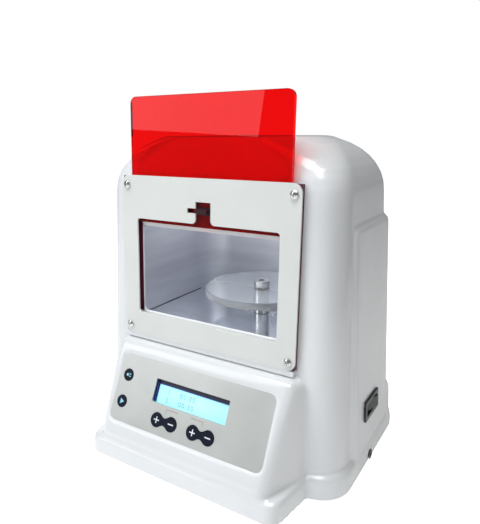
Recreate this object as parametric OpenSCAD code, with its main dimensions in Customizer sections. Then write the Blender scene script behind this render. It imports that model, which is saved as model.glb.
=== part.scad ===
/* [Housing] */
// Half width of the column at its foot
column_half = 106; // [80:0.5:140]
// Half width of the column where the top rounding starts
shoulder_half = 99; // [70:0.5:130]
// Height where the top rounding starts
shoulder_z = 203; // [150:1:260]
// Height of the crown of the housing
crown_z = 243; // [180:1:320]
// How far the sides draw in over the top rounding
crown_inset_x = 40; // [10:1:60]
// How far the front and rear draw in over the top rounding
crown_inset_y = 30; // [8:1:50]
// Corner radius of the column in plan
column_r = 22; // [8:1:30]
// Depth of the rear wall behind the origin at the foot
rear_y = 74; // [60:1:100]
// Depth of the rear wall behind the origin at the shoulder
rear_top_y = 68; // [55:1:95]
// Wall thickness of the moulded shell
wall = 2.6; // [1.5:0.1:5]
// Bottom edge of the shell above the table
shell_z = 1.5; // [0.5:0.1:4]

/* [Side panels] */
// Half width over the raised side panels at the foot
panel_half = 109.5; // [90:0.5:145]
// Half width over the raised side panels at their top
panel_top_half = 102.5; // [80:0.5:140]
// Front edge of the raised side panels
panel_front_y = -16; // [-40:1:20]
// Height of the top edge of the side panels
panel_top_z = 185; // [120:1:230]

/* [Plinth] */
// Half depth of the whole foot
foot_half_y = 87; // [70:0.5:110]
// Half width of the rear plinth
plinth_half = 111; // [90:0.5:150]
// Front face of the rear plinth
plinth_front_y = -50; // [-70:1:-30]
// Corner radius of the rear plinth
plinth_r = 24; // [8:1:35]
// Height of the plinth ledge
ledge_z = 17.5; // [8:0.5:30]
// Half width of the front plinth at its front
toe_half = 84; // [60:0.5:120]
// Half width of the front plinth where it meets the rear one
toe_root_half = 90; // [60:0.5:125]
// Corner radius of the front plinth
toe_r = 10; // [3:0.5:20]
// Height of the swollen rear foot
heel_z = 50; // [25:1:90]

/* [Front plate] */
// Lean of the front plate from upright
plate_tilt = 2.9; // [0:0.1:10]
// Front face of the plate at the upper screws
plate_y = -40.3; // [-60:0.1:-20]
// Height of the upper plate screws
plate_z = 207.9; // [150:0.1:260]
// Width of the plate
plate_w = 150.4; // [110:0.2:190]
// Edge of the plate above the upper screws
plate_above = 7.2; // [4:0.1:14]
// Edge of the plate below the upper screws
plate_below = 116.9; // [90:0.1:150]
// Thickness of the plate
plate_t = 1.2; // [0.8:0.1:3]
// Corner radius of the plate
plate_r = 6.5; // [1:0.5:12]
// Distance between the plate screws across
screw_x = 140; // [100:0.5:170]
// Distance between the plate screws up and down
screw_h = 110.7; // [80:0.1:140]
// Depth of the door channel behind the plate
channel = 3.6; // [2:0.1:8]

/* [Window] */
// Width of the window in the plate
window_w = 121.7; // [80:0.2:150]
// Upper edge of the window below the upper screws
window_top = 24.9; // [15:0.1:50]
// Lower edge of the window below the upper screws
window_bottom = 98.8; // [60:0.1:120]
// Corner radius of the window
window_r = 2.4; // [0.5:0.1:8]
// Width of the notch above the window
notch_w = 12.8; // [6:0.1:25]
// Upper end of the notch below the upper screws
notch_top = 9.3; // [5:0.1:20]
// Height of the middle of the side slot below the upper screws
slot_mid = 15.7; // [10:0.1:30]
// Length of the side slot
slot_len = 7.3; // [4:0.1:12]
// Height of the side slot
slot_h = 3.4; // [2:0.1:8]

/* [Door] */
// Width of the sliding door
door_w = 133.4; // [100:0.2:160]
// Top of the raised door above the upper screws
door_top = 63.6; // [30:0.1:90]
// Bottom of the raised door below the upper screws
door_bottom = 27.4; // [10:0.1:60]
// Thickness of the door
door_t = 3; // [1.5:0.1:6]
// Corner radius of the door
door_r = 5; // [1:0.5:12]
// Width of the latch tab
tab_w = 9.8; // [5:0.1:11]
// Height of the latch tab
tab_h = 2.8; // [1.5:0.1:3.2]

/* [Console] */
// Lean of the control panel from upright
console_tilt = 26.5; // [10:0.5:45]
// Middle of the control panel, distance in front of the origin
label_y = -67; // [-90:0.5:-50]
// Middle of the control panel, height
label_z = 54; // [35:0.5:80]
// Width of the control panel
label_w = 136.7; // [90:0.5:160]
// Height of the control panel
label_h = 52.1; // [35:0.5:75]
// Thickness of the control panel
label_t = 0.8; // [0.4:0.1:2]
// Corner radius of the control panel
label_r = 6; // [2:0.5:12]
// Depth of the recess around the control panel
label_sink = 1; // [0.3:0.1:3]
// Width of the display opening
lcd_w = 65.6; // [40:0.2:90]
// Height of the display opening
lcd_h = 17.2; // [10:0.2:30]
// Middle of the display opening to the right of the panel middle
lcd_x = 1.2; // [-30:0.2:30]
// Middle of the display opening above the panel middle
lcd_up = 4.7; // [-15:0.1:15]
// Radius of the two round keys
key_r = 4.7; // [2.5:0.1:7]
// Radius of the plus and minus keys
pair_r = 5.3; // [2.5:0.1:6.5]
// Travel of a key
key_travel = 0.5; // [0.2:0.1:1]

/* [Chamber] */
// Half width of the curing chamber inside
chamber_half = 64; // [45:0.5:90]
// Rear wall of the chamber inside
chamber_rear = 61; // [30:0.5:80]
// Radius of the rear corners of the chamber
chamber_r = 22; // [4:0.5:35]
// Height of the polished chamber floor
floor_z = 105; // [70:0.5:130]
// Height of the chamber ceiling
ceiling_z = 194; // [150:0.5:215]
// Sheet thickness of the chamber
sheet = 1.2; // [0.6:0.1:3]

/* [Turntable] */
// Sideways place of the turntable
table_x = 17; // [-30:0.5:30]
// Depth place of the turntable
table_y = 13; // [-20:0.5:40]
// Radius of the turntable disc
table_r = 45; // [20:0.5:50]
// Thickness of the turntable disc
table_t = 5; // [2:0.2:10]
// Top face of the turntable disc
table_z = 127; // [112:0.5:150]
// Radius of the post under the disc
post_r = 6.4; // [3:0.1:9]
// Radius of the shaft through the chamber floor
shaft_r = 3; // [1.5:0.1:5]

/* [Power switch] */
// Length of the switch frame along the side
switch_l = 29; // [18:0.5:40]
// Height of the switch frame
switch_h = 15; // [13:0.5:28]
// Middle of the switch along the side
switch_y = 18.5; // [5:0.5:50]
// Middle of the switch above the table
switch_z = 46; // [30:0.5:70]
// Radius of the power jack
jack_r = 3; // [2.5:0.1:3.6]
// Middle of the power jack along the side
jack_y = 16; // [0:0.5:50]
// Middle of the power jack above the table
jack_z = 5.8; // [5.5:0.1:8]

/* [Hidden] */
$fn = 48;
coarse = 48;
eps = 0.01;
lean = tan(plate_tilt);
front_gap = plate_t + channel;
front_off = front_gap / cos(plate_tilt);
side_lean = (panel_half - panel_top_half) / (panel_top_z - ledge_z);
side_angle = atan(side_lean);
rear_lean = (rear_y - rear_top_y) / (shoulder_z - ledge_z);
pair_gap = 13.2;
pair_up = -15.5;
pair_left = -22.9;
pair_right = 9.9;
round_keys = [[-59.3, 9.3], [-59.3, -11.1]];
left_keys = [[pair_left, pair_up], [pair_left + pair_gap, pair_up]];
right_keys = [[pair_right, pair_up], [pair_right + pair_gap, pair_up]];
key_clear = 0.15;
key_rim = 0.45;
key_gap = 0.3;
lamp_x = 31;
lamp_z = ceiling_z + 16;
foot_x = 84;
foot_y0 = -34;
foot_y1 = 58;
base_z = 3.5;
base_t = 2;
boss_spots = [[-71, -76], [71, -76], [-99, -20], [99, -20], [-99, 54], [99, 54]];
strip_in = door_w / 2 + 0.4;
strip_out = plate_w / 2 - 0.6;
switch_x = panel_half - side_lean * (switch_z - ledge_z);
motor_r = 18;
motor_h = 24;
rocker_tilt = 12;
rocker_depth = 2.2;
seat_gap = 0.04;

// Front face of the shell at a height
function front_y(z) = plate_y + front_off - (plate_z - z) * lean;

// Rear face of the shell at a height
function rear_at(z) = rear_y - (z - ledge_z) * rear_lean;

// Half width of the column at a height
function column_at(z) = column_half - (z - ledge_z) * (column_half - shoulder_half) / (shoulder_z - ledge_z);

// Places children on the leaning front, upper screws at zero height
module on_front() {
  translate([0, plate_y, plate_z]) rotate([-plate_tilt, 0, 0]) children();
}

// Places children on the control panel, its middle at zero
module on_console() {
  translate([0, label_y, label_z]) rotate([-console_tilt, 0, 0]) children();
}

// Places children on the right side panel at the switch
module on_side(y, z) {
  x = panel_half - side_lean * (z - ledge_z);
  translate([x, y, z]) rotate([0, -side_angle, 0]) children();
}

// Four thin corner discs of a plan outline
module ring(z, half, y0, y1, r0, r1, h) {
  for (s = [-1, 1]) {
    translate([s * (half - r0), y0 + r0, z]) cylinder(r = r0, h = h, $fn = coarse);
    translate([s * (half - r1), y1 - r1, z]) cylinder(r = r1, h = h, $fn = coarse);
  }
}

// Rounded plate in the x and z plane, its near face at y
module slab(w, z0, z1, y, t, r) {
  h = z1 - z0;
  translate([-w / 2 + r, y, z0]) cube([w - 2 * r, t, h]);
  translate([-w / 2, y, z0 + r]) cube([w, t, h - 2 * r]);
  for (sx = [-1, 1]) {
    for (zc = [z0 + r, z1 - r]) {
      translate([sx * (w / 2 - r), y, zc]) rotate([-90, 0, 0]) cylinder(r = r, h = t);
    }
  }
}

// Cylinder along y
module rod_y(x, z, y, l, r) {
  translate([x, y, z]) rotate([-90, 0, 0]) cylinder(r = r, h = l);
}

// Column with the rounded top, drawn in by a wall
module column_body(t, z0) {
  steps = 9;
  hull() {
    ring(z0, column_at(z0) - t, front_y(z0) + t, rear_at(z0) - t, column_r - t, 16 - t, 0.2);
    for (i = [0 : steps]) {
      a = 90 * i / steps;
      z = shoulder_z + (crown_z - t - shoulder_z) * sin(a) - (i == steps ? 0.2 : 0);
      dx = crown_inset_x * (1 - cos(a));
      dy = crown_inset_y * (1 - cos(a));
      half = shoulder_half - t - dx;
      r = column_r - t + dy * 0.4;
      ring(z, half, front_y(z) + t + dy, rear_at(z) - t - dy, r, r - 3, 0.2);
    }
  }
}

// Raised panels on both sides, running round the rear
module side_panels() {
  top = panel_top_z;
  hull() {
    ring(ledge_z - 4, panel_half, panel_front_y, rear_y, 5, 16, 0.2);
    ring(top - 3, panel_top_half, panel_front_y + 1, rear_at(top) - 0.5, 5, 14, 0.2);
    ring(top, panel_top_half - 3, panel_front_y + 4, rear_at(top) - 3, 4, 12, 0.2);
  }
}

// Rear plinth with its rounded ledge
module plinth() {
  r = plinth_r;
  hull() {
    ring(shell_z, plinth_half, plinth_front_y, foot_half_y, r, 20, 8);
    ring(ledge_z - 2.5, plinth_half - 1, plinth_front_y + 1, foot_half_y - 0.6, r, 20, 0.2);
    ring(ledge_z, plinth_half - 3.5, plinth_front_y + 3.5, foot_half_y - 1.5, r - 2, 19, 0.2);
  }
}

// Swollen rear foot above the plinth
module heel() {
  hull() {
    ring(ledge_z - 4, panel_half, 30, foot_half_y - 0.6, 6, 20, 0.2);
    ring(heel_z - 12, panel_half - 1, 34, foot_half_y - 2, 6, 20, 0.2);
    ring(heel_z, panel_half - 3, 40, rear_at(heel_z), 6, 16, 0.2);
  }
}

// Front plinth under the console
module toe() {
  y1 = plinth_front_y + 12;
  hull() {
    for (s = [-1, 1]) {
      for (k = [0 : 2]) {
        d = k == 0 ? 0 : (k == 1 ? 0.6 : 3.2);
        z = k == 0 ? shell_z : (k == 1 ? ledge_z - 4 : ledge_z - 1.2);
        translate([s * (toe_half - toe_r), toe_r - foot_half_y + d, z])
          cylinder(r = toe_r - d * 0.5, h = k == 0 ? 6 : 0.2, $fn = coarse);
        translate([s * (toe_root_half - 2 - d), y1, z]) cylinder(r = 2, h = 0.2, $fn = coarse);
      }
    }
  }
}

// Sloping console
module console() {
  r = 9;
  hull() {
    for (s = [-1, 1]) {
      on_console() translate([s * 71.5, r - label_sink, 30]) sphere(r = r, $fn = coarse);
      on_console() translate([s * 66, r - label_sink, -35]) sphere(r = r, $fn = coarse);
      translate([s * 79, -32, 78]) sphere(r = 7, $fn = coarse);
      translate([s * 84, -36, 6]) sphere(r = 5, $fn = coarse);
    }
  }
}

// Moulded one piece shell
module housing() {
  color([0.93, 0.95, 0.97])
  difference() {
    union() {
      column_body(0, ledge_z - 6);
      side_panels();
      plinth();
      heel();
      toe();
      console();
    }
    difference() {
      column_body(wall, ledge_z - 7);
      for (s = [-1, 1]) {
        on_front() rod_y(s * screw_x / 2, 0, front_gap, 12, 4);
        on_front() rod_y(s * screw_x / 2, -screw_h, front_gap, 12, 4);
      }
    }
    foot_cavity();
    console_cavity();
    window_cut();
    for (s = [-1, 1]) {
      on_front() rod_y(s * screw_x / 2, 0, front_gap - 1, 11, 1.5);
      on_front() rod_y(s * screw_x / 2, -screw_h, front_gap - 1, 11, 1.5);
    }
    on_console() slab(label_w + 0.6, -label_h / 2 - 0.3, label_h / 2 + 0.3, -6, 6 + label_t, label_r);
    on_console() display_hole(-1, 12, 0.4);
    for (k = round_keys) {
      on_console() rod_y(k[0], k[1], -1, 12, key_r + key_rim + key_gap);
    }
    for (k = concat(left_keys, right_keys)) {
      on_console() rod_y(k[0], k[1], -1, 12, pair_r + key_rim + key_gap);
    }
    on_side(switch_y, switch_z) cube([30, switch_l - 3, switch_h - 3], center = true);
    translate([plinth_half - 12, jack_y, jack_z]) rotate([0, 90, 0]) cylinder(r = jack_r, h = 20);
  }
}

// Hollow of both plinths, open below
module foot_cavity() {
  x0 = plinth_half - 6;
  h = ledge_z - wall - shell_z + 6;
  difference() {
    union() {
      translate([-x0, plinth_front_y + 22, shell_z - 1]) cube([2 * x0, foot_half_y - plinth_front_y - 45, h - 5]);
      translate([-x0 + 20, plinth_front_y - 5, shell_z - 1]) cube([2 * x0 - 40, foot_half_y - plinth_front_y, h - 5]);
      translate([-toe_half + 8, 6 - foot_half_y, shell_z - 1]) cube([2 * toe_half - 16, 60, h - 7]);
      translate([-column_half + 8, -20, shell_z]) cube([2 * column_half - 16, rear_y + 6, 30]);
    }
    for (p = boss_spots) {
      difference() {
        translate([p[0], p[1], base_z + base_t]) cylinder(r = 6, h = 14);
        translate([p[0], p[1], base_z]) cylinder(r = 1.55, h = 12);
      }
    }
  }
}

// Hollow of the console behind its skin
module console_cavity() {
  skin = label_t + wall;
  intersection() {
    on_console() translate([-68, skin, -60]) cube([136, 60, 92]);
    translate([-68, -81, shell_z - 1]) cube([136, 60, 84]);
  }
}

// Opening through the front wall into the chamber
module window_cut() {
  on_front() slab(window_w - 2, -window_bottom + 0.8, -window_top - 0.6, front_gap - 4, 12, window_r);
}

// Opening for the display
module display_hole(y, l, more) {
  translate([lcd_x - lcd_w / 2 - more, y, lcd_up - lcd_h / 2 - more]) cube([lcd_w + 2 * more, l, lcd_h + 2 * more]);
}

// Sheet base under the housing
module base_plate() {
  color([0.6, 0.61, 0.63])
  difference() {
    union() {
      translate([-103, -26, base_z]) cube([206, 88, base_t]);
      translate([-82, -52, base_z]) cube([164, 126, base_t]);
      translate([-75, -80, base_z]) cube([150, 40, base_t]);
    }
    for (p = boss_spots) {
      translate([p[0], p[1], base_z - 1]) cylinder(r = 1.7, h = base_t + 2);
    }
    for (i = [-4 : 4]) {
      translate([i * 8 - 1.5, -20, base_z - 1]) cube([3, 26, base_t + 2]);
    }
  }
}

// Screws that hold the base
module base_screws() {
  color([0.7, 0.7, 0.72])
  for (p = boss_spots) {
    translate([p[0], p[1], base_z - 1.8]) cylinder(r = 2.9, h = 1.8);
    translate([p[0], p[1], base_z - 0.5]) cylinder(r = 1.5, h = 9);
  }
}

// Rubber feet
module feet() {
  color([0.1, 0.1, 0.1])
  for (s = [-1, 1]) {
    translate([s * 62, -68, 0]) cylinder(r = 8, h = base_z);
    translate([s * 82, 40, 0]) cylinder(r = 8, h = base_z);
  }
}

// Outline of the notch and side slot above the window
module notch_cut(y, t) {
  h = window_top - notch_top;
  r = 3.4;
  translate([-notch_w / 2 + 0.2, y, -window_top - 1]) cube([notch_w, t, h + 1]);
  translate([-notch_w / 2 - slot_len + 0.2, y, -slot_mid - slot_h / 2]) cube([slot_len + 1, t, slot_h]);
  difference() {
    translate([-notch_w / 2 + 0.2 - r, y, -window_top - 0.5]) cube([notch_w + 2 * r, t, r + 0.5]);
    rod_y(-notch_w / 2 + 0.2 - r, -window_top + r, y - 1, t + 2, r);
    rod_y(notch_w / 2 + 0.2 + r, -window_top + r, y - 1, t + 2, r);
  }
}

// Painted plate over the door channel
module front_plate() {
  color([0.86, 0.87, 0.86])
  on_front()
  difference() {
    slab(plate_w, -plate_below, plate_above, 0, plate_t, plate_r);
    slab(window_w, -window_bottom, -window_top, -1, plate_t + 2, window_r);
    notch_cut(-1, plate_t + 2);
    for (s = [-1, 1]) {
      rod_y(s * screw_x / 2, 0, -1, plate_t + 2, 1.6);
      rod_y(s * screw_x / 2, -screw_h, -1, plate_t + 2, 1.6);
    }
  }
}

// Domed screws of the plate
module plate_screws() {
  color([0.75, 0.75, 0.76])
  on_front()
  for (s = [-1, 1]) {
    for (z = [0, -screw_h]) {
      difference() {
        union() {
          intersection() {
            translate([s * screw_x / 2, 1.9, z]) sphere(r = 4.1);
            rod_y(s * screw_x / 2, z, -2.2, 2.2, 2.9);
          }
          rod_y(s * screw_x / 2, z, -0.1, 12, 1.45);
        }
        translate([s * screw_x / 2 - 1.6, -3, z - 0.35]) cube([3.2, 1.9, 0.7]);
        translate([s * screw_x / 2 - 0.35, -3, z - 1.6]) cube([0.7, 1.9, 3.2]);
      }
    }
  }
}

// One upright guide strip beside the door
module guide(s) {
  z1 = plate_above - 0.6;
  z0 = -plate_below + 0.6;
  mid = (strip_in + strip_out) / 2;
  color([0.35, 0.04, 0.08])
  on_front()
  difference() {
    translate([s * mid - (strip_out - strip_in) / 2, plate_t, z0]) cube([strip_out - strip_in, channel - seat_gap, z1 - z0]);
    rod_y(s * screw_x / 2, 0, plate_t - 1, channel + 2, 1.6);
    rod_y(s * screw_x / 2, -screw_h, plate_t - 1, channel + 2, 1.6);
  }
}

module guide_left() {
  guide(-1);
}

module guide_right() {
  guide(1);
}

// Strip the lowered door rests on
module door_stop() {
  color([0.35, 0.04, 0.08])
  on_front() translate([-strip_in, plate_t, -plate_below + 0.6]) cube([2 * strip_in, channel - seat_gap, plate_below - 104]);
}

// Red filter door, drawn in its raised place
module door() {
  color([0.9, 0.08, 0.06, 0.6])
  on_front()
  difference() {
    slab(door_w, -door_bottom, door_top, plate_t + 0.3, door_t, door_r);
    translate([-notch_w / 2 - slot_len, plate_t, -slot_mid - 2.9]) cube([notch_w + slot_len + 1.4, 2.3, 5.8]);
  }
}

// Sliding latch that rides in the door pocket
module latch() {
  color([0.3, 0.1, 0.12])
  on_front() {
    translate([-tab_w / 2 - 0.5, plate_t + 0.3, -slot_mid - 2.88]) cube([tab_w + 2, 1.95, 5.5]);
    translate([-tab_w / 2 - 0.4, -2.2, -slot_mid - tab_h / 2]) cube([tab_w, 4.2, tab_h]);
  }
}

// Plan outline of the chamber, larger by d
module chamber_plan(z, h, d) {
  y0 = front_y(floor_z - 10);
  r = chamber_r + d;
  half = chamber_half + d;
  y1 = chamber_rear + d;
  translate([-half, y0, z]) cube([2 * half, y1 - r - y0, h]);
  translate([-half + r, y1 - r - 1, z]) cube([2 * (half - r), r + 1, h]);
  for (s = [-1, 1]) {
    translate([s * (half - r), y1 - r, z]) cylinder(r = r, h = h);
  }
}

// Bent sheet liner of the chamber with its ceiling
module chamber() {
  h = ceiling_z - floor_z;
  color([0.62, 0.63, 0.67])
  difference() {
    union() {
      chamber_plan(floor_z - 10, h + 10 + sheet, sheet);
      for (s = [-1, 1]) {
        on_front() translate([s * (chamber_half + 5) - 5.5, front_gap + wall, 5 - screw_h]) cube([11, 1.8, screw_h - 23]);
      }
    }
    translate([0, -0.01, 0]) chamber_plan(floor_z - 11, h + 11, 0);
    on_front() translate([-120, front_gap - 30, -150]) cube([240, 30 + wall + 0.6, 200]);
    translate([-lamp_x - 22, -14, ceiling_z - 1]) cube([2 * lamp_x + 44, 60, sheet + 2]);
    for (i = [-2 : 2]) {
      translate([i * 14 - 1.5, chamber_rear - 3, floor_z + 70]) cube([3, 8, 12]);
    }
  }
}

// Polished chamber floor
module chamber_floor() {
  color([0.7, 0.71, 0.74])
  difference() {
    chamber_plan(floor_z - sheet, sheet, 0);
    on_front() translate([-120, front_gap - 30, -150]) cube([240, 30 + wall + 0.6, 200]);
    translate([table_x, table_y, floor_z - 3]) cylinder(r = shaft_r + 0.4, h = 6);
    for (s = [-1, 1]) {
      translate([table_x + s * 12, table_y, floor_z - 3]) cylinder(r = 1.6, h = 6);
    }
  }
}

// Posts that carry the chamber from the base
module chamber_posts() {
  color([0.55, 0.56, 0.58])
  for (s = [-1, 1]) {
    for (y = [-17, 34]) {
      translate([s * 56, y, base_z + base_t]) cylinder(r = 4, h = floor_z - sheet - base_z - base_t);
    }
  }
}

// Clear turntable disc
module turntable() {
  color([0.85, 0.92, 0.95, 0.35])
  difference() {
    translate([table_x, table_y, table_z - table_t]) cylinder(r = table_r, h = table_t, $fn = 96);
    translate([table_x, table_y, table_z - table_t - 1]) cylinder(r = 2.6, h = table_t + 2);
  }
}

// Turned post that carries the disc
module spindle() {
  color([0.8, 0.8, 0.8])
  translate([table_x, table_y, 0])
  difference() {
    union() {
      translate([0, 0, floor_z + 0.4]) cylinder(r = post_r, h = table_z - table_t - floor_z - 0.4);
      translate([0, 0, floor_z - sheet - 12]) cylinder(r = shaft_r, h = 13.7);
      translate([0, 0, table_z - table_t - 0.5]) cylinder(r = 2.55, h = table_t + 0.3);
    }
    translate([0, 0, table_z - 9]) cylinder(r = 1.25, h = 12);
  }
}

// Socket screw in the middle of the disc
module hub_screw() {
  color([0.75, 0.75, 0.76])
  translate([table_x, table_y, table_z])
  difference() {
    union() {
      cylinder(r = post_r, h = 4.5);
      translate([0, 0, -8]) cylinder(r = 1.25, h = 8.5);
    }
    translate([0, 0, 2]) cylinder(r = 2.6, h = 3, $fn = 6);
  }
}

// Geared motor under the chamber floor
module motor() {
  top = floor_z - sheet;
  color([0.65, 0.65, 0.6])
  translate([table_x, table_y, top - motor_h])
  difference() {
    union() {
      cylinder(r = motor_r, h = motor_h - 6);
      translate([0, 0, motor_h - 6]) cylinder(r = motor_r - 2, h = 6);
      translate([-6, -motor_r - 3, 2]) cube([12, 8, 10]);
    }
    translate([0, 0, motor_h - 12]) cylinder(r = shaft_r + 0.05, h = 14);
    for (s = [-1, 1]) {
      translate([s * 12, 0, motor_h - 6]) cylinder(r = 1.5, h = 7);
    }
  }
}

// Screws between floor and motor
module motor_screws() {
  color([0.7, 0.7, 0.72])
  for (s = [-1, 1]) {
    translate([table_x + s * 12, table_y, floor_z]) cylinder(r = 2.6, h = 0.8);
    translate([table_x + s * 12, table_y, floor_z - 6]) cylinder(r = 1.45, h = 6.4);
  }
}

// Folded reflector hoods over the ceiling opening
module reflectors() {
  z0 = ceiling_z + sheet + 2;
  color([0.8, 0.8, 0.82])
  for (s = [-1, 1]) {
    difference() {
      translate([s * lamp_x, -18, lamp_z - 2]) rotate([-90, 0, 0]) cylinder(r = 20, h = 68);
      translate([s * lamp_x, -17, lamp_z - 2]) rotate([-90, 0, 0]) cylinder(r = 19, h = 66);
      translate([s * lamp_x - 30, -30, z0 - 40]) cube([60, 90, 40]);
      rod_y(s * lamp_x, lamp_z, -30, 90, 5.6);
    }
  }
}

// Straight light tubes
module lamps() {
  color([0.9, 0.92, 1, 0.6])
  for (s = [-1, 1]) {
    rod_y(s * lamp_x, lamp_z, -22.1, 76.2, 5);
  }
}

// Sockets that hold the tubes on the hoods
module lamp_sockets() {
  color([0.92, 0.92, 0.9])
  for (s = [-1, 1]) {
    for (y = [-25.1, 50]) {
      difference() {
        translate([s * lamp_x - 8, y, lamp_z - 8]) cube([16, 7.1, 16]);
        rod_y(s * lamp_x, lamp_z, y < 0 ? y + 3 : y - 1, 5.1, 5.05);
      }
    }
  }
}

// Clear cover sheet between lamps and chamber
module lamp_glass() {
  color([0.9, 0.95, 1, 0.4])
  translate([-lamp_x - 26, -19, ceiling_z + sheet]) cube([2 * lamp_x + 52, 70, 2]);
}

// Printed control panel sheet
module overlay() {
  color([0.78, 0.8, 0.78])
  on_console()
  difference() {
    slab(label_w, -label_h / 2, label_h / 2, 0, label_t, label_r);
    display_hole(-1, label_t + 2, 0);
    for (k = round_keys) {
      rod_y(k[0], k[1], -1, label_t + 2, key_r + key_clear);
    }
    for (k = concat(left_keys, right_keys)) {
      rod_y(k[0], k[1], -1, label_t + 2, pair_r + key_clear);
    }
  }
}

// Metal frame and board of the display
module display_frame() {
  y = label_t + wall;
  color([0.12, 0.14, 0.2])
  on_console()
  difference() {
    union() {
      translate([lcd_x - lcd_w / 2 - 3, y, lcd_up - lcd_h / 2 - 4]) cube([lcd_w + 6, 6, lcd_h + 8]);
      translate([lcd_x - lcd_w / 2 - 7, y + 5.5, lcd_up - lcd_h / 2 - 9]) cube([lcd_w + 14, 1.6, lcd_h + 18]);
    }
    display_hole(y - 1, 3, 0.6);
  }
}

// Display screen
module display_glass() {
  y = label_t + wall;
  color([0.62, 0.9, 0.95])
  on_console() translate([lcd_x - lcd_w / 2 - 0.5, y + 0.6, lcd_up - lcd_h / 2 - 0.5]) cube([lcd_w + 1, 1.4, lcd_h + 1]);
}

// Main circuit board with its parts
module control_board() {
  z = base_z + base_t + 8;
  color([0.1, 0.4, 0.2])
  union() {
    translate([-60, -72, z]) cube([120, 48, 1.6]);
    for (i = [0 : 4]) {
      translate([-50 + i * 22, -62, z + 1.5]) cube([12, 10, 4]);
      translate([-46 + i * 22, -38, z + 1.5]) cylinder(r = 4, h = 10);
    }
  }
}

// Spacers under the circuit board
module board_spacers() {
  color([0.8, 0.7, 0.4])
  for (s = [-1, 1]) {
    for (y = [-68, -28]) {
      translate([s * 56, y, base_z + base_t]) cylinder(r = 2.6, h = 8);
    }
  }
}

// One key of the control panel with its stem and switch
module key(p, r) {
  color([0.08, 0.1, 0.22])
  on_console() {
    rod_y(p[0], p[1], -0.3, label_t + 0.6, r);
    rod_y(p[0], p[1], label_t, 0.9, r + key_rim);
    rod_y(p[0], p[1], label_t + 0.5, 3.4, r - 1.5);
  }
}

module key_lamp() {
  key(round_keys[0], key_r);
}

module key_start() {
  key(round_keys[1], key_r);
}

module key_left_plus() {
  key(left_keys[0], pair_r);
}

module key_left_minus() {
  key(left_keys[1], pair_r);
}

module key_right_plus() {
  key(right_keys[0], pair_r);
}

module key_right_minus() {
  key(right_keys[1], pair_r);
}

// Frame of the power switch
module switch_frame() {
  color([0.06, 0.06, 0.07])
  on_side(switch_y, switch_z)
  difference() {
    union() {
      translate([seat_gap, -switch_l / 2, -switch_h / 2]) cube([1.4, switch_l, switch_h]);
      translate([-16, -switch_l / 2 + 1.6, -switch_h / 2 + 1.6]) cube([16.5, switch_l - 3.2, switch_h - 3.2]);
    }
    translate([-9, -switch_l / 2 + 3, -switch_h / 2 + 3]) cube([12, switch_l - 6, switch_h - 6]);
    translate([-rocker_depth, 0, -switch_h / 2 + 2.1]) cylinder(r = 1.25, h = switch_h - 4.2);
  }
}

// Rocking switch key, rear half standing out
module rocker() {
  w = switch_h - 6.8;
  color([0.05, 0.05, 0.06])
  on_side(switch_y, switch_z) translate([-rocker_depth, 0, 0]) {
    intersection() {
      translate([0, 0, -w / 2]) cylinder(r = switch_l / 2 - 3.5, h = w);
      rotate([0, 0, -rocker_tilt]) translate([-4, -20, -w / 2]) cube([6.8, 40, w]);
    }
    translate([0, 0, -switch_h / 2 + 2.4]) cylinder(r = 1.2, h = switch_h - 4.8);
  }
}

// Round low voltage jack
module power_jack() {
  x = plinth_half;
  color([0.05, 0.05, 0.05])
  translate([x, jack_y, jack_z]) rotate([0, 90, 0])
  difference() {
    union() {
      translate([0, 0, -7.6]) cylinder(r = jack_r - 0.2, h = 7.8);
      translate([0, 0, seat_gap / 2]) cylinder(r = jack_r + 0.6, h = 0.6);
    }
    translate([0, 0, -6]) cylinder(r = jack_r - 1.2, h = 12);
  }
}

// Boxed power supply on the base
module power_supply() {
  z = base_z + base_t;
  color([0.75, 0.76, 0.78])
  difference() {
    translate([-46, 0, z]) cube([84, 60, 30]);
    for (i = [0 : 8]) {
      translate([-40 + i * 8, 8, z + 28]) cube([3, 44, 4]);
    }
  }
}

// Screws of the power supply
module supply_screws() {
  z = base_z + base_t + 30;
  color([0.7, 0.7, 0.72])
  for (x = [-42, 34]) {
    for (y = [4, 56]) {
      translate([x, y, z]) cylinder(r = 2.4, h = 1.4);
    }
  }
}

// Laminated core transformer with its winding
module transformer() {
  z = base_z + base_t;
  color([0.35, 0.3, 0.25])
  union() {
    translate([-96, 4, z]) cube([28, 40, 34]);
    translate([-101, 11, z]) cube([38, 26, 28]);
  }
}

housing();
base_plate();
base_screws();
feet();
front_plate();
plate_screws();
guide_left();
guide_right();
door_stop();
door();
latch();
chamber();
chamber_floor();
chamber_posts();
turntable();
spindle();
hub_screw();
motor();
motor_screws();
reflectors();
lamps();
lamp_sockets();
lamp_glass();
overlay();
display_frame();
display_glass();
control_board();
board_spacers();
key_lamp();
key_start();
key_left_plus();
key_left_minus();
key_right_plus();
key_right_minus();
switch_frame();
rocker();
power_jack();
power_supply();
supply_screws();
transformer();
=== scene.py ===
import math

import bmesh
import bpy
from mathutils import Matrix, Vector


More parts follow.
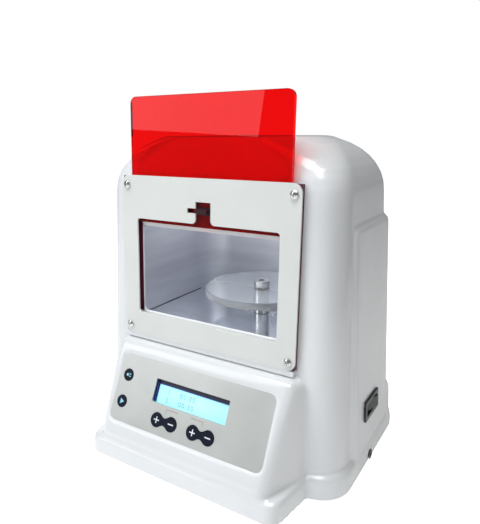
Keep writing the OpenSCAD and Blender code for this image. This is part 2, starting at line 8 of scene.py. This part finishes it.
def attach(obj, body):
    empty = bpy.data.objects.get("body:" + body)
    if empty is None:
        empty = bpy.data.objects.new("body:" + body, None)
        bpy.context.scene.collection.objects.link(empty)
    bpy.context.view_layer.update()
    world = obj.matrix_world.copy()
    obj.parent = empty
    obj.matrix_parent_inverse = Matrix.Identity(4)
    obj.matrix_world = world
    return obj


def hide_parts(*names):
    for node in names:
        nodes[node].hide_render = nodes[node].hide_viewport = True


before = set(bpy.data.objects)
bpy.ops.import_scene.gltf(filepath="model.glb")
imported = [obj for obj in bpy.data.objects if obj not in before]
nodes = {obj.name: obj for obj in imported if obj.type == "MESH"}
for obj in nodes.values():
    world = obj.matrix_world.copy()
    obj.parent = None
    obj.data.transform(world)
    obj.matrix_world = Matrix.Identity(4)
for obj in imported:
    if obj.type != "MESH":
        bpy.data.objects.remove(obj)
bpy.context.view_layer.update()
scene = bpy.context.scene

# Pieces are drawn in millimetres and scaled by MM. Camera, lights and stage are in metres.
MM = 0.001

# ---------- planes of the part that the pieces below are drawn on ----------
PLATE_Y, PLATE_Z, PLATE_TILT = -40.3, 207.9, 2.9
LABEL_Y, LABEL_Z, CONSOLE_TILT = -67.0, 54.0, 26.5
TABLE_X, TABLE_Y, TABLE_TOP_Z = 17, 13, 127


def placed(x, y, z, tilt):
    """Plane through a point of the part, turned about X by tilt degrees."""
    turn = Matrix.Rotation(math.radians(tilt), 4, "X")
    return Matrix.Translation((x * MM, y * MM, z * MM)) @ turn


FRONT = placed(0, PLATE_Y, PLATE_Z, -PLATE_TILT)
PANEL = placed(0, LABEL_Y, LABEL_Z, -CONSOLE_TILT)
TABLE = placed(TABLE_X, TABLE_Y, TABLE_TOP_Z, -90)


# ---------- camera, fitted to the photograph ----------
PHOTO_HEIGHT = 524
FOCAL_PX = 508.9
SENSOR = 36
CAM_PLACE = (0.2072, -0.3265, 0.2458)
CAM_YAW, CAM_PITCH, CAM_ROLL = 31.79, 14.33, 0.43

cam_data = bpy.data.cameras.new("view_camera")
cam = bpy.data.objects.new("view_camera", cam_data)
scene.collection.objects.link(cam)
cam_data.sensor_fit = "AUTO"
cam_data.sensor_width = SENSOR
cam_data.lens = FOCAL_PX * SENSOR / PHOTO_HEIGHT
cam_data.clip_start = 0.01
yaw = Matrix.Rotation(math.radians(CAM_YAW), 4, "Z")
pitch = Matrix.Rotation(math.radians(90 - CAM_PITCH), 4, "X")
roll = Matrix.Rotation(math.radians(-CAM_ROLL), 4, "Z")
cam.matrix_world = Matrix.Translation(CAM_PLACE) @ (yaw @ pitch @ roll)
scene.camera = cam


# ---------- materials ----------
def new_mat(name):
    m = bpy.data.materials.new(name)
    m.use_nodes = True
    nt = m.node_tree
    b = nt.nodes["Principled BSDF"]
    return m, nt, b


def noise(nt, vector, **sockets):
    n = nt.nodes.new("ShaderNodeTexNoise")
    for key, value in sockets.items():
        n.inputs[key].default_value = value
    nt.links.new(vector, n.inputs["Vector"])
    return n.outputs["Fac"]


def ramp(nt, fac, c1, c2, low=0.0, high=1.0):
    r = nt.nodes.new("ShaderNodeValToRGB")
    first, last = r.color_ramp.elements
    first.position = low
    last.position = high
    first.color = (*c1, 1)
    last.color = (*c2, 1)
    nt.links.new(fac, r.inputs["Fac"])
    return r.outputs["Color"]


RAMP_LOW, RAMP_HIGH = 0.35, 0.65
COLOUR_DETAIL, RELIEF_DETAIL = 4.0, 3
RELIEF_FINER = 4  # how much finer the relief is than the colour, unless given


def mottled(name, c1, c2, scale, rough, rough2=None, bump=0.0, bump_scale=None, metal=0.0,
            coat=0.0, coat_rough=0.1, stretch=None, dist=0.0002, **sockets):
    """Colour and gloss that vary softly over the surface, with a fine relief of depth dist."""
    m, nt, b = new_mat(name)
    tc = nt.nodes.new("ShaderNodeTexCoord")
    mp = nt.nodes.new("ShaderNodeMapping")
    if stretch:
        mp.inputs["Scale"].default_value = stretch
    nt.links.new(tc.outputs["Object"], mp.inputs["Vector"])
    vector = mp.outputs["Vector"]
    fac = noise(nt, vector, Scale=scale, Detail=COLOUR_DETAIL)
    nt.links.new(ramp(nt, fac, c1, c2, RAMP_LOW, RAMP_HIGH), b.inputs["Base Color"])
    if rough2 is None:
        b.inputs["Roughness"].default_value = rough
    else:
        mr = nt.nodes.new("ShaderNodeMapRange")
        mr.inputs["To Min"].default_value = rough
        mr.inputs["To Max"].default_value = rough2
        nt.links.new(fac, mr.inputs["Value"])
        nt.links.new(mr.outputs["Result"], b.inputs["Roughness"])
    b.inputs["Metallic"].default_value = metal
    b.inputs["Coat Weight"].default_value = coat
    b.inputs["Coat Roughness"].default_value = coat_rough
    for key, value in sockets.items():
        b.inputs[key.replace("_", " ")].default_value = value
    if bump:
        bp = nt.nodes.new("ShaderNodeBump")
        bp.inputs["Strength"].default_value = bump
        bp.inputs["Distance"].default_value = dist
        relief = noise(nt, vector, Scale=bump_scale or scale * RELIEF_FINER, Detail=RELIEF_DETAIL)
        nt.links.new(relief, bp.inputs["Height"])
        nt.links.new(bp.outputs["Normal"], b.inputs["Normal"])
    return m


def clear(name, c1, c2, scale, rough, ior, transmission=1.0):
    """See-through material. The refraction is set for the look, not to the real value."""
    m = mottled(name, c1, c2, scale, rough, bump=0.03, bump_scale=30, dist=0.00005)
    b = m.node_tree.nodes["Principled BSDF"]
    b.inputs["Transmission Weight"].default_value = transmission
    b.inputs["IOR"].default_value = ior
    return m


def glowing(name, c1, c2, scale, strength, rough):
    """Lit display face."""
    m, nt, b = new_mat(name)
    tc = nt.nodes.new("ShaderNodeTexCoord")
    colour = ramp(nt, noise(nt, tc.outputs["Object"], Scale=scale), c1, c2)
    nt.links.new(colour, b.inputs["Base Color"])
    nt.links.new(colour, b.inputs["Emission Color"])
    b.inputs["Emission Strength"].default_value = strength
    b.inputs["Roughness"].default_value = rough
    return m


M = {
    # housing, plate and metal
    "shell": mottled("gloss_white_shell", (0.76, 0.785, 0.80), (0.79, 0.81, 0.825), 9,
                     0.20, 0.28, bump=0.12, bump_scale=260, coat=0.5, coat_rough=0.08,
                     dist=0.0001),
    "plate": mottled("satin_white_paint", (0.70, 0.725, 0.70), (0.735, 0.755, 0.735), 22,
                     0.36, 0.46, bump=0.2, bump_scale=1500, dist=0.00005),
    "steel": mottled("polished_steel", (0.62, 0.62, 0.62), (0.78, 0.78, 0.77), 180,
                     0.12, 0.24, bump=0.06, bump_scale=900, metal=1.0, dist=0.00005),
    "sheet": mottled("brushed_chamber_sheet", (0.58, 0.59, 0.66), (0.68, 0.70, 0.76), 10,
                     0.34, 0.46, bump=0.12, bump_scale=40, metal=0.72, stretch=(1, 1, 9),
                     dist=0.00005),
    "floor_sheet": mottled("polished_chamber_floor", (0.56, 0.59, 0.64), (0.66, 0.69, 0.74), 14,
                           0.10, 0.18, bump=0.10, bump_scale=40, metal=0.85,
                           stretch=(1, 8, 1), dist=0.00004),
    "zinc": mottled("zinc_plated_sheet", (0.42, 0.44, 0.46), (0.60, 0.61, 0.62), 40,
                    0.32, 0.5, bump=0.2, bump_scale=300, metal=1.0),
    # rubber, plastic and films
    "rubber": mottled("black_rubber", (0.02, 0.02, 0.02), (0.045, 0.045, 0.045), 60,
                      0.75, 0.9, bump=0.4, bump_scale=700),
    # dark red acrylic of the guides and the stop, also used for the painted red-tinted shade
    # beside the window
    "strip": mottled("dark_red_acrylic_and_red_shade", (0.075, 0.004, 0.018), (0.105, 0.006, 0.026), 30,
                     0.4, 0.5, bump=0.08, bump_scale=300),
    "latch": mottled("latch_plastic", (0.030, 0.008, 0.011), (0.050, 0.014, 0.018), 60,
                     0.45, 0.6, bump=0.2, bump_scale=500, Specular_IOR_Level=0.25),
    "panel": mottled("silver_panel_film", (0.50, 0.52, 0.50), (0.56, 0.575, 0.56), 24,
                     0.30, 0.38, bump=0.1, bump_scale=1800, metal=0.25, dist=0.00004),
    "navy": mottled("navy_key_film", (0.0015, 0.004, 0.014), (0.003, 0.007, 0.022), 60,
                    0.38, 0.5, bump=0.08, bump_scale=900, Specular_IOR_Level=0.2),
    "ink_white": mottled("white_ink", (0.72, 0.78, 0.82), (0.80, 0.85, 0.88), 200, 0.4, 0.5),
    "ink_cyan": mottled("cyan_ink", (0.25, 0.62, 0.78), (0.32, 0.70, 0.85), 200, 0.4, 0.5),
    "ink_brown": mottled("brown_ink", (0.20, 0.15, 0.12), (0.28, 0.21, 0.17), 200, 0.4, 0.5),
    # navy of the display frame, also used for the painted shade of the display's recess walls
    "lcd_dark": mottled("display_frame_and_recess_shade_navy", (0.012, 0.012, 0.16), (0.022, 0.022, 0.26), 60,
                        0.3, 0.4),
    # pieces inside
    "board": mottled("green_board", (0.01, 0.10, 0.04), (0.02, 0.16, 0.06), 120,
                     0.35, 0.5, bump=0.1),
    "brass": mottled("brass_spacer", (0.55, 0.40, 0.14), (0.66, 0.50, 0.20), 90,
                     0.25, 0.4, metal=1.0),
    "black": mottled("black_switch_plastic", (0.012, 0.012, 0.013), (0.028, 0.028, 0.03), 80,
                     0.25, 0.4, bump=0.15, bump_scale=900),
    "core": mottled("laminated_iron", (0.08, 0.07, 0.06), (0.18, 0.16, 0.14), 30,
                    0.5, 0.7, bump=0.5, bump_scale=50, metal=0.6, stretch=(1, 12, 1)),
    "ceramic": mottled("ceramic_white", (0.72, 0.71, 0.66), (0.80, 0.79, 0.75), 40,
                       0.4, 0.6, bump=0.1),
    # clear pieces
    "red": clear("red_filter_acrylic", (0.84, 0.0006, 0.0005), (0.88, 0.0009, 0.0007), 12,
                 0.0, 1.3),
    "acrylic": clear("clear_acrylic", (0.86, 0.89, 0.92), (0.90, 0.93, 0.95), 12,
                     0.02, 1.14, transmission=0.86),
    "lamp": clear("lamp_quartz", (0.93, 0.95, 1.0), (0.97, 0.98, 1.0), 20, 0.03, 1.45),
    # display
    "lcd": glowing("display_glow", (0.30, 0.80, 0.88), (0.50, 0.92, 0.94), 30, 0.35, 0.25),
    # black band along the display's top: its dark bezel together with painted shade under the
    # recess's top wall
    "bezel_and_shade": mottled("display_bezel_and_shade_black", (0.006, 0.006, 0.02), (0.012, 0.012, 0.035), 60,
                     0.4, 0.5),
    "lcd_digit": mottled("display_digit", (0.20, 0.50, 0.66), (0.25, 0.56, 0.72), 200,
                         0.4, 0.5),
    # shadow lines of the channel, the chamber floor and the disc
    "liner": mottled("channel_shade", (0.20, 0.17, 0.17), (0.27, 0.23, 0.23), 40,
                     0.6, 0.75, bump=0.1),
    "seam_shade": mottled("sheet_seam_shade", (0.03, 0.033, 0.045), (0.06, 0.065, 0.08), 90,
                    0.5, 0.7, bump=0.1),
    # painted shade: dark edge line of the clear disc
    "rim": mottled("painted_disc_edge_shade", (0.10, 0.12, 0.15), (0.18, 0.20, 0.24), 60, 0.2, 0.3),
}

USE = {
    "shell": ["housing"],
    "plate": ["front_plate"],
    "panel": ["overlay"],
    "strip": ["guide_left", "guide_right", "door_stop"],
    "red": ["door"],
    "latch": ["latch"],
    "sheet": ["chamber", "reflectors"],
    "floor_sheet": ["chamber_floor"],
    "acrylic": ["turntable", "lamp_glass"],
    "lamp": ["lamps"],
    "ceramic": ["lamp_sockets"],
    "steel": ["base_screws", "plate_screws", "spindle", "hub_screw", "motor_screws",
              "supply_screws"],
    "zinc": ["base_plate", "chamber_posts", "motor", "power_supply"],
    "rubber": ["feet"],
    "lcd_dark": ["display_frame"],
    "lcd": ["display_glass"],
    "board": ["control_board"],
    "brass": ["board_spacers"],
    "navy": ["key_lamp", "key_start", "key_left_plus", "key_left_minus", "key_right_plus",
             "key_right_minus"],
    "black": ["switch_frame", "rocker", "power_jack"],
    "core": ["transformer"],
}
LOOK_OF = {name: look for look, names in USE.items() for name in names}
for name, o in nodes.items():
    o.data.materials.clear()
    o.data.materials.append(M[LOOK_OF[name]])


# ---------- helpers for new pieces ----------
def add_piece(name, me, mat, body, place=None):
    """Put a mesh in the scene as a piece that rides a body."""
    o = bpy.data.objects.new(name, me)
    scene.collection.objects.link(o)
    if place is not None:
        me.transform(place)
    me.materials.clear()
    me.materials.append(M[mat])
    me.update()
    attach(o, body)


def mesh_from(name, verts, faces):
    me = bpy.data.meshes.new(name)
    me.from_pydata(verts, [], faces)
    me.validate()
    return me


def mesh_of_object(o):
    """The object's mesh with its modifiers, or its text, worked out."""
    bpy.context.view_layer.update()
    dg = bpy.context.evaluated_depsgraph_get()
    return bpy.data.meshes.new_from_object(o.evaluated_get(dg))


def flat_shape(name, loops, y0, y1, mat, place, body):
    """Print, inlay or painted shade: closed outlines in the local x and z plane, from y0 (front)
    to y1 (back).
    """
    bm = bmesh.new()
    for loop in loops:
        front = [bm.verts.new((x * MM, y0 * MM, z * MM)) for x, z in loop]
        back = [bm.verts.new((x * MM, y1 * MM, z * MM)) for x, z in loop]
        n = len(loop)
        bm.faces.new(front)
        bm.faces.new(list(reversed(back)))
        for i in range(n):
            j = (i + 1) % n
            bm.faces.new((front[j], front[i], back[i], back[j]))
    bmesh.ops.recalc_face_normals(bm, faces=bm.faces)
    me = bpy.data.meshes.new(name)
    bm.to_mesh(me)
    bm.free()
    add_piece(name, me, mat, body, place)


def ring_strip(name, r0, r1, y0, y1, mat, place, body, n):
    """Thin flat ring about the local y axis."""
    verts, faces = [], []
    for i in range(n):
        a = 2 * math.pi * i / n
        c, s = math.cos(a), math.sin(a)
        for r, y in ((r0, y0), (r1, y0), (r1, y1), (r0, y1)):
            verts.append((r * c * MM, y * MM, r * s * MM))
    for i in range(n):
        j = (i + 1) % n
        for k in range(4):
            faces.append((i * 4 + k, j * 4 + k, j * 4 + (k + 1) % 4, i * 4 + (k + 1) % 4))
    add_piece(name, mesh_from(name, verts, faces), mat, body, place)


def box_piece(name, lo, hi, mat, body):
    (x0, y0, z0), (x1, y1, z1) = lo, hi
    corners = ((x0, y0), (x1, y0), (x1, y1), (x0, y1))
    verts = [(x * MM, y * MM, z * MM) for z in (z0, z1) for x, y in corners]
    faces = [(3, 2, 1, 0), (4, 5, 6, 7), (0, 1, 5, 4), (1, 2, 6, 5), (2, 3, 7, 6), (3, 0, 4, 7)]
    add_piece(name, mesh_from(name, verts, faces), mat, body)


def circle(cx, cz, r, n):
    angles = [2 * math.pi * i / n for i in range(n)]
    return [(cx + r * math.cos(a), cz + r * math.sin(a)) for a in angles]


def bar(x0, z0, x1, z1):
    return [(x0, z0), (x1, z0), (x1, z1), (x0, z1)]


# ---------- moulded shell: the housing with its edges softened ----------
WELD = 0.00002
VOXEL, VOXEL_QUICK = 0.0011, 0.0016
PASSES, PASSES_QUICK = 10, 5


def moulded_shell():
    me = nodes["housing"].data.copy()
    o = bpy.data.objects.new("moulded_shell", me)
    scene.collection.objects.link(o)
    bm = bmesh.new()
    bm.from_mesh(me)
    bmesh.ops.remove_doubles(bm, verts=bm.verts, dist=WELD)
    bm.to_mesh(me)
    bm.free()
    rm = o.modifiers.new("even", "REMESH")
    rm.mode = "VOXEL"
    rm.voxel_size = VOXEL
    rm.use_smooth_shade = True
    sm = o.modifiers.new("soften", "SMOOTH")
    sm.factor = 0.5
    sm.iterations = PASSES
    new = mesh_of_object(o)
    o.modifiers.clear()
    o.data = new
    for p in new.polygons:
        p.use_smooth = True
    new.materials.clear()
    new.materials.append(M["shell"])
    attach(o, "cabinet")
    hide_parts("housing")


moulded_shell()

# ---------- signs on the keys ----------
ROUND_KEYS = [(-59.3, 9.3), (-59.3, -11.1)]
LEFT_KEYS = [(-22.9, -15.5), (-9.7, -15.5)]
RIGHT_KEYS = [(9.9, -15.5), (23.1, -15.5)]
KEY_TOP = -0.30  # the keys' face stands this far ahead of the panel sheet
SIGN_FRONT, SIGN_BACK = KEY_TOP - 0.06, KEY_TOP + 0.05
ARM, STROKE = 2.4, 0.42  # half the length and half the width of a stroke
PLAY_BACK, PLAY_TIP, PLAY_HALF = 1.4, 2.2, 2.1
DOT_SHIFT, DOT_R, DOT_SIDES = 0.9, 1.1, 20
RAY_X0, RAY_X1, RAY_Z0, RAY_Z1 = 0.8, 2.4, 0.5, 1.3


def minus_sign(x, z):
    return [bar(x - ARM, z - STROKE, x + ARM, z + STROKE)]


def plus_sign(x, z):
    upper = bar(x - STROKE, z + STROKE, x + STROKE, z + ARM)
    lower = bar(x - STROKE, z - ARM, x + STROKE, z - STROKE)
    return minus_sign(x, z) + [upper, lower]


def play_sign(x, z):
    return [[(x - PLAY_BACK, z - PLAY_HALF), (x + PLAY_TIP, z), (x - PLAY_BACK, z + PLAY_HALF)]]


def lamp_sign(x, z):
    return [circle(x - DOT_SHIFT, z, DOT_R, DOT_SIDES),
            bar(x + RAY_X0, z - RAY_Z1, x + RAY_X1, z - RAY_Z0),
            bar(x + RAY_X0, z + RAY_Z0, x + RAY_X1, z + RAY_Z1)]


KEY_SIGNS = [
    ("key_lamp", ROUND_KEYS[0], lamp_sign, "ink_cyan"),
    ("key_start", ROUND_KEYS[1], play_sign, "ink_cyan"),
    ("key_left_plus", LEFT_KEYS[0], plus_sign, "ink_white"),
    ("key_left_minus", LEFT_KEYS[1], minus_sign, "ink_white"),
    ("key_right_plus", RIGHT_KEYS[0], plus_sign, "ink_white"),
    ("key_right_minus", RIGHT_KEYS[1], minus_sign, "ink_white"),
]
for key, centre, sign, ink in KEY_SIGNS:
    flat_shape(key + "_sign", sign(*centre), SIGN_FRONT, SIGN_BACK, ink, PANEL,
               key + "_body")

# ---------- waisted dark link between the two keys of a pair ----------
LINK_R, LINK_ANGLE = 5.45, math.radians(46)
LINK_WAIST, LINK_POWER, LINK_STEPS = 2.7, 1.8, 12
LINK_FRONT, LINK_BACK = -0.25, 0.1
reach = LINK_R * math.cos(LINK_ANGLE)
shoulder = LINK_R * math.sin(LINK_ANGLE)
for side, pair in (("left", LEFT_KEYS), ("right", RIGHT_KEYS)):
    (xa, z), (xb, _) = pair
    edge = []
    for i in range(LINK_STEPS + 1):
        t = i / LINK_STEPS
        x = xa + reach + t * (xb - xa - 2 * reach)
        w = LINK_WAIST + (shoulder - LINK_WAIST) * (abs(2 * t - 1) ** LINK_POWER)
        edge.append((x, w))
    upper = [(x, z + w) for x, w in edge]
    lower = [(x, z - w) for x, w in reversed(edge)]
    flat_shape("key_link_" + side, [upper + lower], LINK_FRONT, LINK_BACK, "navy", PANEL,
               "cabinet")

# ---------- thin bracket lines above the pairs ----------
LINE = 0.16  # half the line's width
BRACKET_Z, BRACKET_FOOT_Z = -6.35, -9.4
BRACKETS = [(-16.3, -5.5, -16.3), (6.0, 16.5, 16.5)]  # left end, right end, foot
loops = []
for x0, x1, foot in BRACKETS:
    loops.append(bar(x0, BRACKET_Z - LINE, x1, BRACKET_Z + LINE))
    loops.append(bar(foot - LINE, BRACKET_FOOT_Z, foot + LINE, BRACKET_Z - LINE))
flat_shape("pair_brackets", loops, -0.05, 0.1, "ink_brown", PANEL, "cabinet")

# ---------- display: dark bezel band and painted shade of its recess walls, two rows of invented numbers ---
LCD_X, LCD_Z, LCD_HALF_W, LCD_HALF_H = 1.2, 4.7, 32.8, 8.6
LCD_X0, LCD_X1 = LCD_X - LCD_HALF_W, LCD_X + LCD_HALF_W
LCD_Z0, LCD_Z1 = LCD_Z - LCD_HALF_H, LCD_Z + LCD_HALF_H
BEZEL_SHADE_H, RECESS_SHADE_H, RECESS_SHADE_W = 2.6, 3.7, 1.3
BEZEL_SHADE_FRONT, RECESS_SHADE_FRONT, DARK_BANDS_BACK = 3.2, 3.4, 3.98
SHEET_T, WALL, GLASS_GAP, DIGIT_RISE = 0.8, 2.6, 0.6, 0.05
DIGIT_Y = SHEET_T + WALL + GLASS_GAP - DIGIT_RISE
DIGIT_X, DIGIT_SIZE, DIGIT_DEPTH, DIGIT_SPACING = -22, 5.2, 0.03, 1.25

# The black band along the top is the glass's dark bezel and painted shade under the recess's top
# wall; the navy bars under it and down the left side are painted shade of the recess walls.
flat_shape("display_bezel_and_shade", [bar(LCD_X0, LCD_Z1 - BEZEL_SHADE_H, LCD_X1, LCD_Z1)],
           BEZEL_SHADE_FRONT, DARK_BANDS_BACK, "bezel_and_shade", PANEL, "cabinet")
flat_shape("display_recess_shade", [bar(LCD_X0, LCD_Z1 - RECESS_SHADE_H, LCD_X1, LCD_Z1 - BEZEL_SHADE_H),
                              bar(LCD_X0, LCD_Z0, LCD_X0 + RECESS_SHADE_W, LCD_Z1 - RECESS_SHADE_H)],
           RECESS_SHADE_FRONT, DARK_BANDS_BACK, "lcd_dark", PANEL, "cabinet")


def digits(name, text, z):
    """One row of faint digits on the display."""
    cu = bpy.data.curves.new(name, "FONT")
    cu.body = text
    cu.size = DIGIT_SIZE * MM
    cu.extrude = DIGIT_DEPTH * MM
    cu.space_character = DIGIT_SPACING
    o = bpy.data.objects.new(name, cu)
    scene.collection.objects.link(o)
    me = mesh_of_object(o)
    bpy.data.objects.remove(o)
    shift = Matrix.Translation((DIGIT_X * MM, DIGIT_Y * MM, z * MM))
    upright = Matrix.Rotation(math.radians(90), 4, "X")
    add_piece(name, me, "lcd_digit", "cabinet", PANEL @ shift @ upright)


digits("display_row_upper", "1    05:00", 3.6)
digits("display_row_lower", "2    00:30", -2.6)

# ---------- strips of the door channel and the plate; the thin channel sheets are painted shade ---
CHANNEL_HALF = 66.5
SHADE_EDGE = 59.9
HEAD_Z = -27.4
STRIPS = [
    # name, outline on the front plane, front and back depth, look, slot
    # painted shade: dark sheet on the housing in the channel above the window, which darkens the
    # red door over it
    ("channel_shade_above_window", bar(-CHANNEL_HALF, -27.3, CHANNEL_HALF, -4.0), 4.60, 4.76,
     "liner", "shell_white"),
    ("window_edge_trim", bar(-59.6, -30.6, 59.6, HEAD_Z), 4.56, 6.8, "shell", "shell_white"),
    ("plate_sill", bar(-74, -120.8, 74, -117.0), 0.5, 5.2, "shell", "shell_white"),
    # painted shade: thin dark red sheets in the channel gap beside the window, shade tinted by the
    # red door
    ("channel_liner_left", bar(-CHANNEL_HALF, -98.6, -SHADE_EDGE, HEAD_Z), 4.58, 4.74,
     "strip", "red_strip"),
    ("channel_liner_right", bar(SHADE_EDGE, -98.6, CHANNEL_HALF, HEAD_Z), 4.58, 4.74,
     "strip", "red_strip"),
]
for name, outline, front, back, look, slot in STRIPS:
    flat_shape(name, [outline], front, back, look, FRONT, "cabinet")

# ---------- seams of the chamber floor with painted shade, painted dark edge line of the disc ---
SEAM_Y0, SEAM_Y1 = -37.0, 41.0
SEAM_Z0, SEAM_Z1 = 105.02, 105.2
# painted shade: dark lines along the floor's side seams, a seam with shade painted into it
for side, x0, x1 in (("left", -63.9, -63.0), ("right", 63.0, 63.9)):
    box_piece("floor_seam_shade_" + side, (x0, SEAM_Y0, SEAM_Z0), (x1, SEAM_Y1, SEAM_Z1), "seam_shade",
              "cabinet")
# painted shade: thin dark ring along the clear disc's edge
EDGE_R0, EDGE_R1, EDGE_RISE, EDGE_SIDES = 44.25, 44.95, 0.05, 72
ring_strip("disc_edge_upper", EDGE_R0, EDGE_R1, 0.0, -EDGE_RISE, "rim", TABLE, "table",
           EDGE_SIDES)

# ---------- stage ----------
WHITE = (1.0, 1.0, 1.0, 1)
FLOOR_GLOW, FLOOR_GLOW_SEEN = 0.18, 0.66  # for all rays, and added for the camera
SKY_COLOUR, SKY_STRENGTH = (0.93, 0.96, 1.0, 1), 0.24

bpy.ops.mesh.primitive_plane_add(size=8, location=(0, 0, 0))
floor = bpy.context.object
floor.name = "studio_floor"
fm, fnt, fb = new_mat("studio_white")
fb.inputs["Base Color"].default_value = WHITE
fb.inputs["Roughness"].default_value = 0.8
fb.inputs["Emission Color"].default_value = WHITE
floor_path = fnt.nodes.new("ShaderNodeLightPath")
glow = fnt.nodes.new("ShaderNodeMath")
glow.operation = "MULTIPLY_ADD"
glow.inputs[1].default_value = FLOOR_GLOW_SEEN
glow.inputs[2].default_value = FLOOR_GLOW
fnt.links.new(floor_path.outputs["Is Camera Ray"], glow.inputs[0])
fnt.links.new(glow.outputs[0], fb.inputs["Emission Strength"])
floor.data.materials.append(fm)

scene.view_settings.view_transform = "Standard"
scene.view_settings.look = "None"
scene.view_settings.exposure = 0.0

# The world is white to the camera and through clear pieces, and dimmer as a light.
world = bpy.data.worlds.new("studio_world")
scene.world = world
world.use_nodes = True
wn = world.node_tree
dim = wn.nodes["Background"]
dim.inputs["Color"].default_value = SKY_COLOUR
dim.inputs["Strength"].default_value = SKY_STRENGTH
white = wn.nodes.new("ShaderNodeBackground")
white.inputs["Color"].default_value = WHITE
white.inputs["Strength"].default_value = 1.0
path = wn.nodes.new("ShaderNodeLightPath")
mix = wn.nodes.new("ShaderNodeMixShader")
seen = wn.nodes.new("ShaderNodeMath")
seen.operation = "MAXIMUM"
wn.links.new(path.outputs["Is Camera Ray"], seen.inputs[0])
wn.links.new(path.outputs["Is Transmission Ray"], seen.inputs[1])
wn.links.new(seen.outputs[0], mix.inputs["Fac"])
wn.links.new(dim.outputs["Background"], mix.inputs[1])
wn.links.new(white.outputs["Background"], mix.inputs[2])
wn.links.new(mix.outputs["Shader"], wn.nodes["World Output"].inputs["Surface"])


def area(name, loc, target, size, power, colour):
    ld = bpy.data.lights.new(name, "AREA")
    ld.shape = "RECTANGLE"
    ld.size, ld.size_y = size
    ld.energy = power
    ld.color = colour
    o = bpy.data.objects.new(name, ld)
    scene.collection.objects.link(o)
    o.location = loc
    d = Vector(target) - Vector(loc)
    o.rotation_euler = d.to_track_quat("-Z", "Y").to_euler()


NEUTRAL, COOL = (1, 1, 1), (0.93, 0.965, 1.0)
LIGHTS = [
    # name, place, target, size, power in watts, colour
    ("key_light", (-0.75, -0.9, 0.75), (0, 0, 0.12), (0.6, 0.9), 4.6, COOL),
    ("top_light", (0.0, -0.35, 1.05), (0, 0, 0.1), (0.9, 0.4), 7.8, NEUTRAL),
    ("edge_light", (-1.0, 0.5, 0.5), (0, 0, 0.12), (0.3, 0.8), 0.8, NEUTRAL),
    ("chamber_light", (0.0, -0.004, 0.189), (0, 0.02, 0.1), (0.09, 0.03), 0.05, NEUTRAL),
]
for light in LIGHTS:
    area(*light)

# Dark card beside the part, hidden from the camera, that shades the right side.
bpy.ops.mesh.primitive_plane_add(size=1, location=(0.55, 0.10, 0.30),
                                 rotation=(0, math.radians(90), 0))
flag = bpy.context.object
flag.name = "right_flag"
flag.scale = (0.9, 1.1, 1)
flag_mat, _, flag_bsdf = new_mat("right_flag_card")
flag_bsdf.inputs["Base Color"].default_value = (0.09, 0.08, 0.06, 1)
flag_bsdf.inputs["Roughness"].default_value = 0.9
flag.data.materials.append(flag_mat)
flag.visible_camera = False
